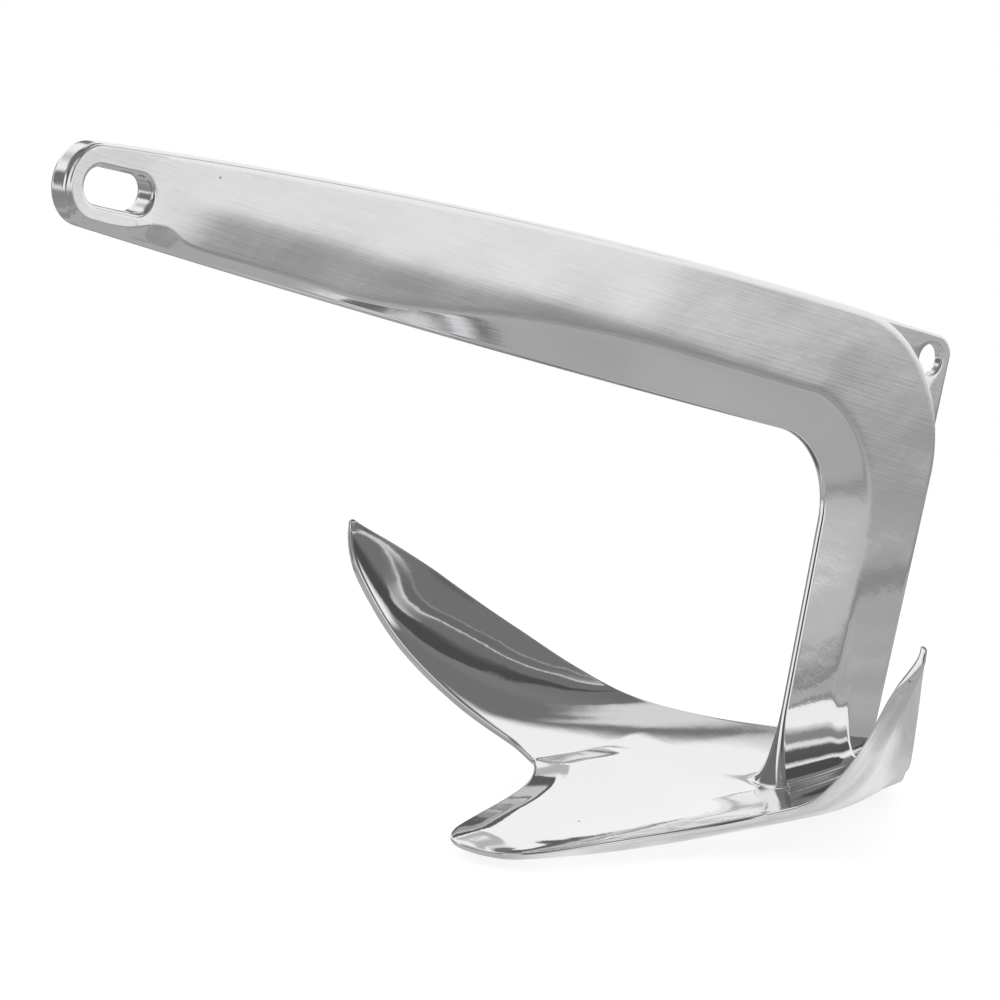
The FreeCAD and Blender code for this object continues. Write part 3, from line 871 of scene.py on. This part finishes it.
# World: plain white light, and for glossy rays a tent of grey shades that the polished steel shows.
tent = {
    # walls: elevation and shade
    "walls": [(-90, 0.40), (-20, 0.28), (-14.5, 0.29), (-12.0, 0.36), (-9.5, 0.63), (-7.0, 0.92),
              (-3.5, 1.04), (90, 1.08)],
    # the dark roof with its darker core, and cards: azimuth, elevation, radius, soft edge, shade
    "patches": [(20.0, 76.0, 53.0, 4.0, 0.23), (20.0, 76.0, 25.0, 8.0, 0.15),
                (108.0, 50.0, 15.0, 1.2, 0.085), (60.0, 34.0, 34.0, 6.0, 0.20), (48.0, 8.0, 20.0, 6.0, 0.06),
                (-160.0, 70.0, 11.0, 4.0, 0.80), (-122.0, 50.0, 9.0, 3.0, 0.85),
                (170.0, 54.0, 15.0, 4.0, 0.20), (111.0, -12.0, 15.0, 3.0, 0.58),
                (-80.0, 4.0, 18.0, 5.0, 0.20), (-42.0, 12.0, 16.0, 4.0, 0.18),
                (-126.0, 30.0, 6.0, 2.0, 0.55), (-125.3, 19.0, 4.2, 1.0, 0.20),
                (-126.3, 11.0, 3.6, 0.8, 0.12)],
    # a window with blinds, by elevation, inside one round patch and above one elevation
    "blinds": [(-12.0, 0.46), (-9.5, 0.68), (-7.0, 0.92), (-3.5, 1.04), (4.5, 1.06), (9.0, 0.30),
               (13.0, 0.28), (14.5, 0.85), (16.5, 0.90), (19.0, 0.12), (29.0, 0.10), (33.0, 0.90),
               (60.0, 0.90)],
    "blindsPatch": (118.0, 14.0, 23.0, 1.5), "blindsFrom": (-4.8, -3.4),
    # how far the patches' borders wander, like cloth seen in polished metal
    "wobbleScale": 5.0, "wobble": 0.05,
}


# Direction of a place in the sky, with its azimuth from +X towards +Y.
def skyDirection(azimuth, elevation):
    a, e = np.radians(azimuth), np.radians(elevation)
    return (float(np.cos(a) * np.cos(e)), float(np.sin(a) * np.cos(e)), float(np.sin(e)))


# Height of that direction, from -1 to 1.
def skyHeight(elevation):
    return float(np.sin(np.radians(elevation)))


# The tent: walls by elevation, then one patch over the other, and last the window.
def makeTent():
    world = bpy.data.worlds.new("lightTent")
    world.use_nodes = True
    nodes, links = world.node_tree.nodes, world.node_tree.links
    nodes.clear()
    result = addNode(nodes, "OutputWorld")
    toward = addNode(nodes, "TexCoord").outputs["Generated"]
    axis = addNode(nodes, "SeparateXYZ")
    links.new(toward, axis.inputs[0])
    # the noise runs from 0 to 1, so its middle is taken away before it moves a direction
    wander = addNode(nodes, "TexNoise", {"Scale": tent["wobbleScale"], "Detail": 2.0})
    links.new(toward, wander.inputs["Vector"])
    centred = addNode(nodes, "VectorMath", {1: (0.5, 0.5, 0.5)}, operation="SUBTRACT")
    links.new(wander.outputs["Color"], centred.inputs[0])
    wandered = addNode(nodes, "VectorMath", {1: (tent["wobble"],) * 3}, operation="MULTIPLY_ADD")
    links.new(centred.outputs[0], wandered.inputs[0])
    links.new(toward, wandered.inputs[2])
    spread = addNode(nodes, "MapRange", {"From Min": -1.0, "From Max": 1.0})
    links.new(axis.outputs["Z"], spread.inputs["Value"])

    # share of a round patch of sky: the cosine of the angle from its centre, mapped over its soft edge
    def skyPatch(azimuth, elevation, radius, edge):
        near = addNode(nodes, "VectorMath", {1: skyDirection(azimuth, elevation)}, operation="DOT_PRODUCT")
        links.new(wandered.outputs[0], near.inputs[0])
        ends = {"From Min": float(np.cos(np.radians(radius + edge))),
                "From Max": float(np.cos(np.radians(max(radius - edge, 0))))}
        share = addNode(nodes, "MapRange", ends, interpolation_type="SMOOTHSTEP")
        links.new(near.outputs["Value"], share.inputs["Value"])
        return share.outputs["Result"]

    def skyMix(share, under):
        mix = addNode(nodes, "Mix", data_type="RGBA")
        links.new(share, mix.inputs["Factor"])
        links.new(under, mix.inputs["A"])
        return mix

    # shades by elevation: the ramp runs over the direction's height
    def skyRamp(stations):
        ramp = greyRamp(nodes, [((skyHeight(elevation) + 1) / 2, shade) for elevation, shade in stations])
        links.new(spread.outputs["Result"], ramp.inputs["Fac"])
        return ramp.outputs["Color"]

    sky = skyRamp(tent["walls"])
    for *patch, shade in tent["patches"]:
        mix = skyMix(skyPatch(*patch), sky)
        mix.inputs["B"].default_value = (shade, shade, shade, 1)
        sky = mix.outputs["Result"]
    low, high = (skyHeight(elevation) for elevation in tent["blindsFrom"])
    highEnough = addNode(nodes, "MapRange", {"From Min": low, "From Max": high})
    links.new(axis.outputs["Z"], highEnough.inputs["Value"])
    within = addNode(nodes, "Math", operation="MULTIPLY")
    links.new(highEnough.outputs["Result"], within.inputs[0])
    links.new(skyPatch(*tent["blindsPatch"]), within.inputs[1])
    window = skyMix(within.outputs[0], sky)
    links.new(skyRamp(tent["blinds"]), window.inputs["B"])

    shown = addNode(nodes, "Background")
    links.new(window.outputs["Result"], shown.inputs["Color"])
    white = addNode(nodes, "Background", {"Color": (1, 1, 1, 1)})
    choose = addNode(nodes, "MixShader")
    links.new(addNode(nodes, "LightPath").outputs["Is Glossy Ray"], choose.inputs[0])
    links.new(white.outputs[0], choose.inputs[1])
    links.new(shown.outputs[0], choose.inputs[2])
    links.new(choose.outputs[0], result.inputs["Surface"])
    return world


bpy.context.scene.world = makeTent()

# Camera at the photograph's angle

view = {"azimuth": 137.7, "elevation": 11.45, "distance": 6.118, "lens": 504.0, "target": (206.7, 0.0, 161.5),
        "clipEnd": 100}

# the view's azimuth turns from -Y towards +X, a quarter turn from the tent's, which turns from +X towards +Y
backward = Vector(skyDirection(view["azimuth"] - 90, view["elevation"]))
rightward = Vector((0, 0, 1)).cross(backward).normalized()
upward = backward.cross(rightward)
turned = Matrix((rightward, upward, backward)).transposed().to_4x4()
target = Vector(toFrame([view["target"]])[0])
cameraData = bpy.data.cameras.new("camera")
cameraData.lens = view["lens"]
cameraData.clip_end = view["clipEnd"]
camera = bpy.data.objects.new("camera", cameraData)
bpy.context.scene.collection.objects.link(camera)
camera.matrix_world = Matrix.Translation(target + backward * view["distance"]) @ turned
bpy.context.scene.camera = camera
bpy.context.scene.view_settings.view_transform = "Standard"
print("stage 7: studio and camera")
